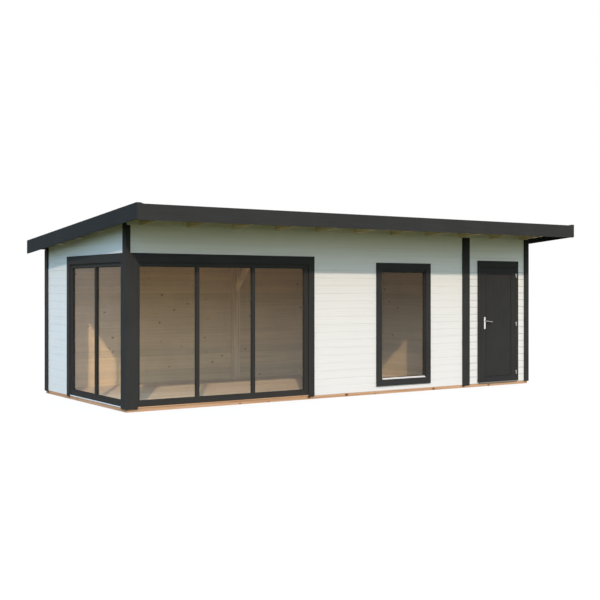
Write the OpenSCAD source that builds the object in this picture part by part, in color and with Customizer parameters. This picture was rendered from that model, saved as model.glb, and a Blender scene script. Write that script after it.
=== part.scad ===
// Garden office pod: a log-built office with corner glazing and a store room under one sloping roof.
// Millimetres. X runs along the front from left to right, Y from front to back, Z up from the ground.
// The origin lies on the ground under the middle of the roof.

/* [House] */
// Length of the log walls along the front
house_w = 7390; // [6800:10:8200]
// Depth of the log walls from front to back
house_d = 2990; // [2800:10:3400]
// Thickness of the wall logs
wall_t = 44; // [40:1:70]
// Height that each log adds to a wall
course_h = 114.5; // [110:0.5:120]
// Courses of logs between the openings and the notched top log at the front
header_courses = 3; // [2:1:3]
// Depth of the V joint between two logs
joint_d = 4; // [2:0.5:9]
// Half the height of the V joint between two logs
joint_h = 3.5; // [2:0.5:12]
// Distance of the partition's middle from the right end of the walls
partition_from_right = 1422; // [1340:1:1540]

/* [Base and floor] */
// Height of the foundation beams
beam_h = 50; // [45:1:58]
// Width of the foundation beams
beam_w = 70; // [50:1:110]
// Number of joists between the two end beams
joist_count = 11; // [7:1:15]
// Width of a joist
joist_w = 45; // [35:1:70]
// Thickness of the floor boards
floor_t = 18; // [16:1:28]

/* [Roof] */
// Height of the top edge of the front fascia
eave_h = 2657; // [2630:1:2720]
// Slope of the roof in degrees, falling to the back
roof_pitch = 4.44; // [4:0.01:4.9]
// Overhang of the roof in front of the front wall
front_overhang = 818; // [600:1:950]
// Overhang of the roof behind the back wall
rear_overhang = 190; // [120:1:300]
// Overhang of the roof past each end wall
side_overhang = 239; // [180:1:320]
// Number of rafters
rafter_count = 11; // [9:1:11]
// Width of a rafter
rafter_w = 45; // [40:1:60]
// Depth of a rafter, measured plumb
rafter_h = 125; // [115:1:135]
// Distance of the first rafter's middle from the left end of the walls
rafter_inset = 205; // [120:1:230]
// Distance of the last rafter's middle from the right end of the walls
rafter_end_inset = 155; // [120:1:230]
// Play at each side of a rafter in its notch
notch_gap = 1; // [0.5:0.5:3]
// Number of lookouts that carry each verge
lookout_count = 3; // [3:1:5]
// Width of a lookout
lookout_w = 45; // [35:1:60]
// Depth of a lookout
lookout_h = 125; // [70:1:135]
// Thickness of the roof boards
deck_t = 18; // [16:1:28]
// Thickness of the roof covering
membrane_t = 5; // [3:1:8]
// Thickness of the fascia boards
fascia_t = 20; // [16:1:28]
// Height of the front fascia
fascia_h = 200; // [170:1:230]
// Height of the front fascia's top above the roof covering
fascia_lip = 5; // [2:1:12]
// Height of the rear fascia
rear_fascia_h = 118; // [100:1:190]
// Thickness of the barge boards
barge_t = 20; // [16:1:28]
// Height of the barge boards
barge_h = 195; // [170:1:230]
// Height of a barge board's top above the roof covering
barge_lip = 10; // [4:1:20]
// Thickness of the verge cap over the barge board
cap_t = 8; // [4:1:14]
// Flat width of the verge cap
cap_w = 60; // [45:1:90]
// Width of the verge cap's slope down to the roof covering
cap_slope_w = 45; // [30:1:70]
// Thickness of the verge cap at its inner edge
cap_edge_t = 3; // [2:1:5]

/* [Corner boards] */
// Thickness of the corner boards and casings
trim_t = 20; // [14:1:28]
// Width of the corner boards
corner_board_w = 100; // [80:1:150]
// How far the corner boards reach down over the foundation
board_drop = 10; // [5:1:20]
// Width of the board over the partition's end
partition_board_w = 150; // [120:1:180]
// Side of the corner post
post_w = 120; // [100:1:140]
// Width of the corner post's facing on the front
post_facing_front_w = 152; // [140:1:185]
// Width of the corner post's facing on the left end
post_facing_end_w = 145; // [135:1:175]
// Width of the corner board above the facing, on the front
upper_board_front_w = 45; // [40:1:90]
// Width of the corner board above the facing, on the left end
upper_board_end_w = 90; // [60:1:110]

/* [Corner glazing] */
// Width of one pane of glass
pane_w = 835; // [790:1:845]
// Thickness of the glass, both sheets together
glass_t = 8; // [6:1:10]
// Depth of the glass behind the frame's outer face
glass_set = 20; // [15:1:32]
// Width of the frame's upright beside the corner post
corner_upright_w = 66; // [50:1:75]
// Width of the uprights between two panes
mullion_w = 50; // [45:1:65]
// Width of the frame's outer upright
outer_upright_w = 100; // [85:1:135]
// Thickness of the sill strip
sill_t = 13; // [10:1:20]
// How far the sill strip stands in front of the frame
sill_nose = 8; // [4:1:12]
// Height of the rail under the glass
bottom_rail_h = 78; // [60:1:95]
// Height of the rail over the glass
head_rail_h = 86; // [70:1:110]
// Panes in the front glazing
front_panes = 3; // [2:1:3]
// Panes in the end glazing
end_panes = 2; // [1:1:2]
// Width of the casing boards
casing_w = 98; // [80:1:110]
// How far a casing board laps over the frame
casing_lap = 30; // [15:1:40]
// How far the casing over the glazing hangs below the header logs
casing_head_drop = 32; // [20:1:50]
// Height of the casing board over the glazing
casing_head_h = 117; // [100:1:130]

/* [Tall window] */
// Place of the window's middle, as a share of the wall between the glazing and the partition
window_share = 0.575; // [0.45:0.005:0.6]
// Width of the window's glass
window_glass_w = 853; // [760:1:870]
// Height of the lower edge of the window's glass
window_glass_foot = 240; // [225:1:260]
// Height of the rail over the window's glass
window_head_h = 128; // [100:1:160]
// Width of the window's stiles
stile_w = 59; // [50:1:90]
// Height of the window's bottom rail
window_rail_h = 90; // [70:1:100]
// Visible width of the frame round the glass, inside the casing
window_reveal = 18; // [15:1:45]
// Height of the frame that shows over the glass, below the casing
window_head_reveal = 43; // [35:1:80]
// Height of the drip bar under the glass
drip_bar_h = 22; // [16:1:30]
// How far the drip bar stands in front of the frame
drip_bar_d = 26; // [22:1:35]
// Thickness of the drip bar's front edge
drip_edge_t = 3; // [2:0.5:5]

/* [Store door] */
// Distance of the doorway's right side from the right end of the walls
door_from_right = 261; // [240:1:290]
// Width of the doorway between the logs
doorway_w = 867; // [840:1:900]
// How far the door frame laps over the logs at each side
door_lap = 30; // [20:1:40]
// How far the door frame laps over the logs at the head
door_head_lap = 77; // [50:1:90]
// Thickness of the frame between the logs and the leaf
jamb_t = 25; // [20:1:32]
// Width of the stop behind the leaf
stop_w = 15; // [10:1:22]
// Thickness of the threshold
threshold_t = 18; // [12:1:24]
// Thickness of the door leaf
leaf_t = 40; // [36:1:44]
// Gap round the door leaf
leaf_gap = 5; // [5:0.5:6]
// Width of the leaf's stiles and top rail
leaf_stile_w = 108; // [95:1:130]
// Height of the leaf's bottom rail
leaf_bottom_rail_h = 85; // [70:1:140]
// Depth of the leaf's panel behind its stiles
panel_set = 4; // [2:0.5:8]

/* [Hinges and handle] */
// Distance of the outer hinges' middles from the leaf's ends
hinge_inset = 135; // [100:1:200]
// Radius of a hinge barrel
barrel_r = 9; // [7:0.5:9]
// Height of a hinge, both halves together
hinge_h = 66; // [50:1:120]
// Radius of a hinge pin
hinge_pin_r = 4.5; // [3.5:0.1:5]
// Radial play of the hinge pin
hinge_play = 0.06; // [0.04:0.01:0.1]
// Width of a hinge flap
flap_w = 18; // [14:1:30]
// Thickness of a hinge flap
flap_t = 3; // [2:0.5:4]
// Distance of the handle's spindle from the leaf's free edge
handle_backset = 80; // [70:1:90]
// Height of the handle's spindle
handle_z = 1080; // [1000:1:1100]
// Width of the handle's backplate
plate_w = 32; // [28:1:46]
// Height of the backplate above the spindle
plate_above = 66; // [55:1:100]
// Height of the backplate below the spindle
plate_below = 134; // [110:1:150]
// Thickness of the backplate
plate_t = 8; // [6:1:10]
// Radius of the lever's neck
neck_r = 8; // [7:0.5:11]
// How far the neck's end stands out past the grip
neck_end = 2; // [1:0.5:5]
// Radial play of the neck in its plate
neck_play = 0.06; // [0.04:0.01:0.1]
// Distance of the lever's middle from the leaf's face
lever_reach = 48; // [42:1:60]
// Radius of the lever's grip
lever_r = 6.5; // [5:0.5:11]
// Length of the lever's grip from the spindle
lever_l = 140; // [110:1:150]
// Angle in degrees that the lever falls towards its end
lever_droop = 6; // [0:0.5:10]
// Radius of the cylinder lock's face on the backplate
lock_r = 9; // [7:0.5:11]
// Distance of the lock below the spindle
lock_drop = 92; // [80:1:100]
// How far the lock stands out of the backplate
lock_out = 3; // [1:0.5:5]

/* [Back post and brace] */
// Distance of the back post's middle from the left end of the walls
post_x = 3330; // [3250:5:3420]
// Width of the back post
back_post_w = 115; // [90:1:120]
// Depth of the back post
back_post_d = 90; // [70:1:120]
// Width of the brace and of the cross beam
brace_w = 60; // [45:1:80]
// Depth of the brace
brace_d = 80; // [60:1:100]
// Height of the brace's foot below the cross beam
brace_drop = 640; // [500:5:720]

/* [Hidden] */
$fn = 48;

// Overrun of a cutting shape past the face that it cuts
over = 10;

dark_paint = "#3a3b3c";
white_paint = "#eeede9";
pine = "#d8b07a";
roof_grey = "#4a4a4c";
clear_glass = "#9fb4b8";
bright_metal = "#b9bcbe";

// Main planes
x_left = -house_w / 2;
x_right = house_w / 2;
roof_d = front_overhang + house_d + rear_overhang;
y_eave = -roof_d / 2;
y_front = y_eave + front_overhang;
y_back = y_front + house_d;
y_rear = y_back + rear_overhang;
y_front_in = y_front + wall_t;
y_back_in = y_back - wall_t;
roof_x = x_right + side_overhang;
deck_under = membrane_t + deck_t;
rafter_under = deck_under + rafter_h;
z_floor = beam_h + floor_t;

// Height of the roof covering's upper face
function roof_z(y) = eave_h - fascia_lip - (y - y_eave) * tan(roof_pitch);

// Lower edge of the notched top log: the highest joint between logs that lies below the rafters
function top_log_z(y) = beam_h + floor((roof_z(y) - rafter_under - beam_h) / course_h) * course_h;

front_log_z = top_log_z(y_front_in);
z_head = front_log_z - header_courses * course_h;
back_log_z = top_log_z(y_back);
board_foot = beam_h - board_drop;
front_board_top = roof_z(y_front) - rafter_under;
back_board_top = roof_z(y_back) - rafter_under;

// Corner glazing
front_glass_w = front_panes * pane_w + (front_panes - 1) * mullion_w;
end_glass_w = end_panes * pane_w + (end_panes - 1) * mullion_w;
glass_start = post_w + corner_upright_w;
front_opening_end = glass_start + front_glass_w + outer_upright_w;
end_opening_end = glass_start + end_glass_w + outer_upright_w;
rail_foot = beam_h + sill_t;
glass_foot = rail_foot + bottom_rail_h;
glass_top = z_head - head_rail_h;
casing_head_foot = z_head - casing_head_drop;
casing_head_top = casing_head_foot + casing_head_h;

function bay_start(bay) = glass_start + (bay - 1) * (pane_w + mullion_w);

partition_x = house_w - partition_from_right;

// Tall window
window_half = window_glass_w / 2 + stile_w;
window_casing_half = window_glass_w / 2 + window_reveal;
window_foot = window_glass_foot - window_rail_h;
window_glass_top = z_head - window_head_h;
window_casing_foot = window_glass_foot - drip_bar_h;
window_casing_head = window_glass_top + window_head_reveal;
window_x = round(front_opening_end + window_share * (partition_x - front_opening_end));

// Gap between two faces that bear on each other and turn, and at the sloped seats under the roof
seat_gap = 0.3;

// Store door
door_r = x_right - door_from_right;
door_l = door_r - doorway_w;
frame_l = door_l + jamb_t;
frame_r = door_r - jamb_t;
leaf_l = frame_l + leaf_gap;
leaf_r = frame_r - leaf_gap;
leaf_face_y = y_front - trim_t;
leaf_foot = beam_h + threshold_t + leaf_gap;
leaf_top = z_head - jamb_t - leaf_gap;
rebate_y = leaf_t - trim_t + leaf_gap;
panel_l = leaf_l + leaf_stile_w;
panel_r = leaf_r - leaf_stile_w;
panel_top = leaf_top - leaf_stile_w;
panel_foot = leaf_foot + leaf_bottom_rail_h;
hinge_x = (leaf_r + frame_r) / 2;
hinge_y = leaf_face_y - barrel_r;
hinge_heights = [leaf_foot + hinge_inset, (leaf_foot + leaf_top) / 2, leaf_top - hinge_inset];
pin_top_share = 0.85;
handle_x = leaf_l + handle_backset;
spindle_r = neck_r / 2;
spindle_room = 1;

// A block between two corners
module block(x0, x1, y0, y1, z0, z1) {
    translate([x0, y0, z0])
        cube([x1 - x0, y1 - y0, z1 - z0]);
}

// A block given from the left front corner of the walls
module corner_block(x0, x1, y0, y1, z0, z1) {
    translate([x_left, y_front, 0])
        block(x0, x1, y0, y1, z0, z1);
}

// A Y-Z outline drawn out along X
module along_x(x0, x1) {
    translate([x0, 0, 0])
        rotate([90, 0, 90])
            linear_extrude(x1 - x0)
                children();
}

// An X-Z outline drawn out along Y
module along_y(y0, y1) {
    translate([0, y1, 0])
        rotate([90, 0, 0])
            linear_extrude(y1 - y0)
                children();
}

// A layer parallel to the roof, given by its plumb distances below the roof covering's upper face
module roof_layer(x0, x1, y0, y1, top, bottom) {
    along_x(x0, x1)
        polygon([
            [y0, roof_z(y0) - bottom],
            [y1, roof_z(y1) - bottom],
            [y1, roof_z(y1) - top],
            [y0, roof_z(y0) - top]
        ]);
}

// Everything above the underside of a roof layer
module above_roof_layer(under) {
    roof_layer(-roof_x, roof_x, y_eave, y_rear, -eave_h, under);
}

// Section of a log wall, with V joints on the lines of the courses: t runs from the outer to the inner face
function course_lines(z0, z1) = [
    for (k = [1 : floor((z1 - beam_h) / course_h)])
        let (z = beam_h + k * course_h)
        if (z > z0 + joint_h && z < z1 - joint_h) z
];
function log_face(z0, z1, face, depth) = concat(
    [[face, z0]],
    [
        for (z = course_lines(z0, z1))
            each [[face, z - joint_h], [face + depth, z], [face, z + joint_h]]
    ],
    [[face, z1]]
);
function reversed(list) = [for (k = [len(list) - 1 : -1 : 0]) list[k]];

module log_section(outer, inner, z0, z1) {
    depth = outer < inner ? joint_d : -joint_d;
    polygon(concat(
        log_face(z0, z1, outer, depth),
        reversed(log_face(z0, z1, inner, -depth))
    ));
}

// A stretch of front or back wall
module long_wall(x0, x1, outer, inner, z0, z1) {
    along_x(x0, x1)
        log_section(outer, inner, z0, z1);
}

// A stretch of end wall or partition, cut off under the roof boards
module cross_wall(outer, inner, y0, y1, z0) {
    difference() {
        along_y(y0, y1)
            log_section(outer, inner, z0, roof_z(y0));
        above_roof_layer(deck_under);
    }
}

rafter_pitch = (house_w - rafter_inset - rafter_end_inset) / (rafter_count - 1);

function rafter_x(k) = x_left + rafter_inset + k * rafter_pitch;

// The rafters as beams, or with play at each side as the notches that they lie in
module rafter_set(play) {
    for (k = [0 : rafter_count - 1])
        roof_layer(rafter_x(k) - rafter_w / 2 - play, rafter_x(k) + rafter_w / 2 + play,
            y_eave + fascia_t, y_rear - fascia_t, deck_under, rafter_under);
}

module rafter_notches() {
    rafter_set(notch_gap);
}

// A copy at each end of the house
module both_ends() {
    children();
    mirror([1, 0, 0])
        children();
}

module foundation_long_beams() {
    color(pine) {
        block(x_left, x_right, y_front, y_front + beam_w, 0, beam_h);
        block(x_left, x_right, y_back - beam_w, y_back, 0, beam_h);
    }
}

module foundation_cross_beams() {
    joist_pitch = house_w / (joist_count + 1);
    color(pine) {
        both_ends()
            block(x_right - beam_w, x_right, y_front + beam_w, y_back - beam_w, 0, beam_h);
        for (k = [1 : joist_count])
            translate([x_left + k * joist_pitch, 0, 0])
                block(-joist_w / 2, joist_w / 2, y_front + beam_w, y_back - beam_w, 0, beam_h);
    }
}

module floor_boards() {
    partition_l = x_left + partition_x - wall_t / 2;
    color(pine) {
        difference() {
            block(x_left + wall_t, partition_l, y_front_in, y_back_in, beam_h, z_floor);
            corner_block(0, post_w, 0, post_w, beam_h - over, z_floor + over);
        }
        block(partition_l + wall_t, x_right - wall_t, y_front_in, y_back_in, beam_h, z_floor);
    }
}

module front_wall_header() {
    color(white_paint)
        long_wall(x_left, x_right, y_front, y_front_in, z_head, front_log_z);
}

module front_wall_piers() {
    window_mid = x_left + window_x;
    color(white_paint) {
        long_wall(x_left + front_opening_end, window_mid - window_half, y_front, y_front_in, beam_h, z_head);
        long_wall(window_mid + window_half, door_l, y_front, y_front_in, beam_h, z_head);
        long_wall(door_r, x_right, y_front, y_front_in, beam_h, z_head);
    }
}

module front_wall_window_infill() {
    color(white_paint)
        translate([x_left + window_x, 0, 0])
            long_wall(-window_half, window_half, y_front, y_front_in, beam_h, window_foot);
}

module left_wall_header() {
    color(white_paint)
        cross_wall(x_left, x_left + wall_t, y_front_in, y_front + end_opening_end, z_head);
}

module left_wall_rear() {
    color(white_paint)
        cross_wall(x_left, x_left + wall_t, y_front + end_opening_end, y_back_in, beam_h);
}

module right_wall() {
    color(white_paint)
        cross_wall(x_right, x_right - wall_t, y_front_in, y_back_in, beam_h);
}

module back_wall() {
    color(white_paint)
        long_wall(x_left, x_right, y_back, y_back_in, beam_h, back_log_z);
}

module top_logs() {
    color(white_paint)
        difference() {
            union() {
                long_wall(x_left, x_right, y_front, y_front_in, front_log_z, roof_z(y_front));
                long_wall(x_left, x_right, y_back, y_back_in, back_log_z, roof_z(y_back));
            }
            above_roof_layer(deck_under);
            rafter_notches();
        }
}

module partition_wall() {
    partition_l = x_left + partition_x - wall_t / 2;
    color(pine)
        difference() {
            cross_wall(partition_l, partition_l + wall_t, y_front_in, y_back_in, beam_h);
            rafter_notches();
        }
}

module corner_post() {
    color(dark_paint)
        corner_block(0, post_w, 0, post_w, beam_h, z_head);
}

module corner_boards_long_sides() {
    color(dark_paint) {
        corner_block(-trim_t, post_facing_front_w, -trim_t, 0, board_foot, casing_head_top);
        corner_block(-trim_t, upper_board_front_w, -trim_t, 0, board_foot, front_board_top);
        block(x_right + trim_t - corner_board_w, x_right + trim_t, y_front - trim_t, y_front,
            board_foot, front_board_top);
        both_ends()
            block(x_right + trim_t - corner_board_w, x_right + trim_t, y_back, y_back + trim_t,
                board_foot, back_board_top);
    }
}

module corner_boards_ends() {
    color(dark_paint)
        difference() {
            union() {
                corner_block(-trim_t, 0, 0, post_facing_end_w, board_foot, casing_head_top);
                corner_block(-trim_t, 0, 0, upper_board_end_w, board_foot, roof_z(y_front));
                block(x_right, x_right + trim_t, y_front, y_front + corner_board_w, board_foot, roof_z(y_front));
                both_ends()
                    block(x_right, x_right + trim_t, y_back - corner_board_w, y_back,
                        board_foot, roof_z(y_front));
            }
            above_roof_layer(deck_under);
        }
}

module partition_boards() {
    half_w = partition_board_w / 2;
    color(dark_paint)
        translate([x_left + partition_x, 0, 0]) {
            block(-half_w, half_w, y_front - trim_t, y_front, board_foot, front_board_top);
            block(-half_w, half_w, y_back, y_back + trim_t, board_foot, back_board_top);
        }
}

module casing_head_boards() {
    front_end = front_opening_end - casing_lap + casing_w;
    end_end = end_opening_end - casing_lap + casing_w;
    color(dark_paint) {
        corner_block(post_facing_front_w, front_end, -trim_t, 0, casing_head_foot, casing_head_top);
        corner_block(-trim_t, 0, post_facing_end_w, end_end, casing_head_foot, casing_head_top);
        translate([window_x, 0, 0]) {
            corner_block(-window_casing_half, window_casing_half, -trim_t, 0,
                window_casing_foot - casing_w, window_casing_foot);
            corner_block(-window_casing_half, window_casing_half, -trim_t, 0,
                window_casing_head, window_casing_head + casing_w);
        }
    }
}

module casing_side_boards() {
    front_start = front_opening_end - casing_lap;
    end_start = end_opening_end - casing_lap;
    color(dark_paint) {
        corner_block(front_start, front_start + casing_w, -trim_t, 0, board_foot, casing_head_foot);
        corner_block(-trim_t, 0, end_start, end_start + casing_w, board_foot, casing_head_foot);
        for (x0 = [window_x - window_casing_half - casing_w, window_x + window_casing_half])
            corner_block(x0, x0 + casing_w, -trim_t, 0,
                window_casing_foot - casing_w, window_casing_head + casing_w);
    }
}

// Frame of a run of glazing along X, in a place that starts at the corner
module glazing_rails(opening_end) {
    block(post_w, opening_end, 0, wall_t, rail_foot, glass_foot);
    block(post_w, opening_end, 0, wall_t, glass_top, z_head);
}

module glazing_uprights(panes, opening_end) {
    block(post_w, glass_start, 0, wall_t, glass_foot, glass_top);
    if (panes > 1)
        for (bay = [2 : panes])
            translate([bay_start(bay), 0, 0])
                block(-mullion_w, 0, 0, wall_t, glass_foot, glass_top);
    block(opening_end - outer_upright_w, opening_end, 0, wall_t, glass_foot, glass_top);
}

module glazing_panes(panes) {
    for (bay = [1 : panes])
        translate([bay_start(bay), glass_set, 0])
            block(0, pane_w, 0, glass_t, glass_foot, glass_top);
}

module glazing_sill(nose_start, opening_end) {
    block(nose_start, opening_end - casing_lap, -sill_nose, 0, beam_h, rail_foot);
    block(post_w, opening_end, 0, wall_t, beam_h, rail_foot);
}

// Places for the front run and, turned about the corner's diagonal, the run on the left end
module on_front() {
    translate([x_left, y_front, 0])
        children();
}

module on_left_end() {
    translate([x_left, y_front, 0])
        rotate([0, 0, 90])
            mirror([0, 1, 0])
                children();
}

module front_glazing_rails() {
    color(dark_paint)
        on_front()
            glazing_rails(front_opening_end);
}

module front_glazing_uprights() {
    color(dark_paint)
        on_front()
            glazing_uprights(front_panes, front_opening_end);
}

module front_glass() {
    color(clear_glass)
        on_front()
            glazing_panes(front_panes);
}

module left_glazing_rails() {
    color(dark_paint)
        on_left_end()
            glazing_rails(end_opening_end);
}

module left_glazing_uprights() {
    color(dark_paint)
        on_left_end()
            glazing_uprights(end_panes, end_opening_end);
}

module left_glass() {
    color(clear_glass)
        on_left_end()
            glazing_panes(end_panes);
}

module glazing_sills() {
    color(white_paint) {
        on_front()
            glazing_sill(post_facing_front_w, front_opening_end);
        on_left_end()
            glazing_sill(post_facing_end_w, end_opening_end);
    }
}

// Places for the tall window's pieces
module at_window() {
    translate([x_left + window_x, y_front, 0])
        children();
}

module window_rails() {
    color(dark_paint)
        at_window() {
            block(-window_half, window_half, 0, wall_t, window_foot, window_glass_foot);
            block(-window_half, window_half, 0, wall_t, window_glass_top, z_head);
        }
}

module window_stiles() {
    half_glass = window_glass_w / 2;
    color(dark_paint)
        at_window() {
            block(-window_half, -half_glass, 0, wall_t, window_glass_foot, window_glass_top);
            block(half_glass, window_half, 0, wall_t, window_glass_foot, window_glass_top);
        }
}

module window_glass() {
    half_glass = window_glass_w / 2;
    color(clear_glass)
        at_window()
            block(-half_glass, half_glass, glass_set, glass_set + glass_t, window_glass_foot, window_glass_top);
}

module window_drip_bar() {
    color(bright_metal)
        at_window()
            along_x(-window_glass_w / 2, window_glass_w / 2)
                polygon([
                    [0, window_casing_foot],
                    [-drip_bar_d, window_casing_foot],
                    [-drip_bar_d, window_casing_foot + drip_edge_t],
                    [0, window_glass_foot]
                ]);
}

// One jamb at the left side of the doorway
module jamb() {
    translate([door_l, y_front, beam_h + threshold_t])
        linear_extrude(z_head - beam_h - threshold_t)
            polygon([
                [-door_lap, -trim_t],
                [jamb_t, -trim_t],
                [jamb_t, rebate_y],
                [jamb_t + stop_w, rebate_y],
                [jamb_t + stop_w, wall_t],
                [0, wall_t],
                [0, 0],
                [-door_lap, 0]
            ]);
}

module door_jambs() {
    door_mid = (door_l + door_r) / 2;
    color(dark_paint) {
        jamb();
        translate([door_mid, 0, 0])
            mirror([1, 0, 0])
                translate([-door_mid, 0, 0])
                    jamb();
    }
}

module door_head() {
    color(dark_paint)
        translate([0, y_front, z_head]) {
            block(door_l - door_lap, door_r + door_lap, -trim_t, 0, 0, door_head_lap);
            block(frame_l, frame_r, -trim_t, rebate_y, -jamb_t, 0);
            block(frame_l + stop_w, frame_r - stop_w, rebate_y, wall_t, -jamb_t - stop_w, 0);
        }
}

module door_threshold() {
    color(bright_metal)
        block(door_l, door_r, y_front - trim_t, y_front_in, beam_h, beam_h + threshold_t);
}

// The three places of the hinges, on their common axis
module at_hinges() {
    for (z = hinge_heights)
        translate([hinge_x, hinge_y, z])
            children();
}

module hinge_pins() {
    color(bright_metal)
        at_hinges() {
            translate([0, 0, -hinge_h / 2])
                cylinder(h = hinge_h / 2 - seat_gap, r = barrel_r);
            cylinder(h = hinge_h * pin_top_share, r = hinge_pin_r, center = true);
            block(0, flap_w, barrel_r - flap_t, barrel_r, -hinge_h / 2, -seat_gap);
        }
}

module hinge_knuckles() {
    color(bright_metal)
        at_hinges()
            difference() {
                union() {
                    cylinder(h = hinge_h / 2, r = barrel_r);
                    block(-flap_w, 0, barrel_r - flap_t, barrel_r, 0, hinge_h / 2);
                }
                translate([0, 0, -over])
                    cylinder(h = hinge_h * pin_top_share / 2 + seat_gap + over, r = hinge_pin_r + hinge_play);
            }
}

module door_leaf() {
    color(dark_paint)
        difference() {
            block(leaf_l, leaf_r, leaf_face_y, leaf_face_y + leaf_t, leaf_foot, leaf_top);
            block(panel_l, panel_r, leaf_face_y - over, leaf_face_y + panel_set, panel_foot, panel_top);
            block(panel_l, panel_r, leaf_face_y + leaf_t - panel_set, leaf_face_y + leaf_t + over,
                panel_foot, panel_top);
            translate([handle_x, leaf_face_y - over, handle_z])
                rotate([-90, 0, 0])
                    cylinder(h = leaf_t + over + over, r = spindle_r + spindle_room);
        }
}

// A copy at the outer and at the inner face of the leaf: y runs out from the face
module at_handles() {
    translate([handle_x, leaf_face_y, handle_z])
        mirror([0, 1, 0])
            children();
    translate([handle_x, leaf_face_y + leaf_t, handle_z])
        children();
}

// Backplate with round ends and the face of the cylinder lock
module handle_plates() {
    end_r = plate_w / 2;
    color(bright_metal)
        at_handles() {
            difference() {
                union() {
                    block(-end_r, end_r, 0, plate_t, end_r - plate_below, plate_above - end_r);
                    for (z = [end_r - plate_below, plate_above - end_r])
                        translate([0, 0, z])
                            rotate([-90, 0, 0])
                                cylinder(h = plate_t, r = end_r);
                }
                translate([0, -over, 0])
                    rotate([-90, 0, 0])
                        cylinder(h = plate_t + over + over, r = neck_r + neck_play);
            }
            translate([0, 0, -lock_drop])
                rotate([-90, 0, 0])
                    cylinder(h = plate_t + lock_out, r = lock_r);
        }
}

// Neck and falling grip on each face, on one spindle
module handle_levers() {
    color(bright_metal) {
        at_handles() {
            rotate([-90, 0, 0])
                cylinder(h = lever_reach + lever_r + neck_end, r = neck_r);
            translate([0, lever_reach, 0])
                rotate([0, lever_droop, 0]) {
                    rotate([0, 90, 0])
                        cylinder(h = lever_l - lever_r, r = lever_r);
                    translate([lever_l - lever_r, 0, 0])
                        sphere(r = lever_r);
                }
        }
        translate([handle_x, leaf_face_y, handle_z])
            rotate([-90, 0, 0])
                cylinder(h = leaf_t, r = spindle_r);
    }
}

module back_post() {
    color(pine)
        difference() {
            translate([x_left + post_x, 0, 0])
                block(-back_post_w / 2, back_post_w / 2, y_back_in - back_post_d, y_back_in, z_floor, eave_h);
            above_roof_layer(rafter_under);
        }
}

module knee_brace() {
    foot_y = y_back_in - back_post_d;
    foot_z = roof_z(foot_y) - rafter_under - brace_drop;
    heel_z = foot_z + brace_d * sqrt(2);
    color(pine)
        difference() {
            along_x(x_left + post_x - brace_w / 2, x_left + post_x + brace_w / 2)
                polygon([
                    [foot_y, foot_z],
                    [foot_y, heel_z],
                    [foot_y - brace_drop, heel_z + brace_drop],
                    [foot_y - brace_drop - brace_d, foot_z + brace_drop + brace_d]
                ]);
            above_roof_layer(rafter_under + seat_gap);
        }
}

module rafters() {
    color(pine) {
        rafter_set(0);
        roof_layer(x_left + post_x - brace_w / 2, x_left + post_x + brace_w / 2,
            y_front_in, y_back_in, deck_under, rafter_under);
    }
}

// Lookouts part the end wall's depth evenly
module verge_lookouts() {
    pitch = house_d / (lookout_count + 1);
    first_y = y_front + pitch - lookout_w / 2;
    color(pine)
        both_ends()
            for (k = [0 : lookout_count - 1])
                roof_layer(x_right, roof_x - barge_t, first_y + k * pitch, first_y + k * pitch + lookout_w,
                    deck_under, deck_under + lookout_h);
}

module roof_deck() {
    color(pine)
        roof_layer(-roof_x + barge_t, roof_x - barge_t, y_eave + fascia_t, y_rear - fascia_t,
            membrane_t, deck_under);
}

module roof_membrane() {
    color(roof_grey)
        roof_layer(-roof_x + barge_t, roof_x - barge_t, y_eave + fascia_t, y_rear - fascia_t,
            0, membrane_t);
}

module front_fascia() {
    color(dark_paint)
        block(-roof_x + barge_t, roof_x - barge_t, y_eave, y_eave + fascia_t, eave_h - fascia_h, eave_h);
}

module rear_fascia() {
    rear_z = roof_z(y_rear);
    color(dark_paint)
        block(-roof_x + barge_t, roof_x - barge_t, y_rear - fascia_t, y_rear, rear_z - rear_fascia_h, rear_z);
}

module barge_boards() {
    color(dark_paint)
        both_ends()
            roof_layer(roof_x - barge_t, roof_x, y_eave, y_rear, -barge_lip, barge_h - barge_lip);
}

// A verge cap lies over the barge board and falls inwards to the roof covering
module verge_caps() {
    cap_run = roof_d / cos(roof_pitch) + over;
    cap_top = barge_lip + cap_t;
    color(roof_grey)
        both_ends()
            difference() {
                intersection() {
                    translate([0, y_eave, roof_z(y_eave)])
                        rotate([-roof_pitch, 0, 0])
                            along_y(-over, cap_run)
                                polygon([
                                    [roof_x, -over],
                                    [roof_x, cap_top],
                                    [roof_x - cap_w, cap_top],
                                    [roof_x - cap_w - cap_slope_w, cap_edge_t],
                                    [roof_x - cap_w - cap_slope_w, -over]
                                ]);
                    block(0, roof_x, y_eave, y_rear, 0, eave_h + cap_top);
                }
                roof_layer(0, roof_x - barge_t, y_eave, y_rear, -seat_gap, barge_h);
                roof_layer(roof_x - barge_t, roof_x, y_eave, y_rear, -barge_lip - seat_gap, barge_h);
                front_fascia();
            }
}

foundation_long_beams();
foundation_cross_beams();
floor_boards();
front_wall_header();
front_wall_piers();
front_wall_window_infill();
left_wall_header();
left_wall_rear();
right_wall();
back_wall();
top_logs();
partition_wall();
corner_post();
corner_boards_long_sides();
corner_boards_ends();
partition_boards();
casing_head_boards();
casing_side_boards();
front_glazing_rails();
front_glazing_uprights();
front_glass();
left_glazing_rails();
left_glazing_uprights();
left_glass();
glazing_sills();
window_rails();
window_stiles();
window_glass();
window_drip_bar();
door_jambs();
door_head();
door_threshold();
hinge_pins();
door_leaf();
hinge_knuckles();
handle_plates();
handle_levers();
back_post();
knee_brace();
rafters();
verge_lookouts();
roof_deck();
roof_membrane();
front_fascia();
rear_fascia();
barge_boards();
verge_caps();
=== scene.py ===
import math

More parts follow.
